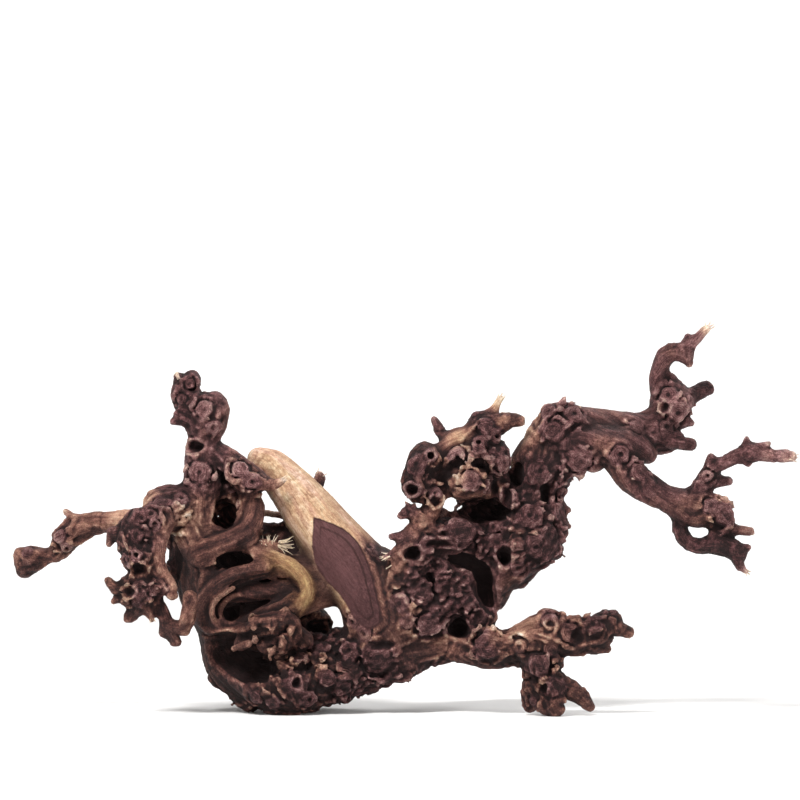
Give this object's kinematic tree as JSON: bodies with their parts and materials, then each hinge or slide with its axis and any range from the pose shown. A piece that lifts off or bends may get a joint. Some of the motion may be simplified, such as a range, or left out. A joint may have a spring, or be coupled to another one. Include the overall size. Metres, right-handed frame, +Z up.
{
  "type": "dry root",
  "caption": "Gnarled, burled shrub root, washed and dried, with a bare trunk and forked arms; lies on its belly, a heel and a foot as a table or tank decoration.",
  "frame": {"origin": "on the floor, under the middle of the root's bounding box", "axes": "+X along the root's length, from the long thin arm towards the forked arms; -Y is the side with the great hollow, which shows best; +Z up"},
  "size_m": [0.521, 0.1518, 0.258],
  "materials": {
    "dry_wood": "matte, purple-brown burls with bare cream wood on the trunk"
  },
  "bodies": {
    "root": {"root": "dry_wood"}
  },
  "joints": []
}
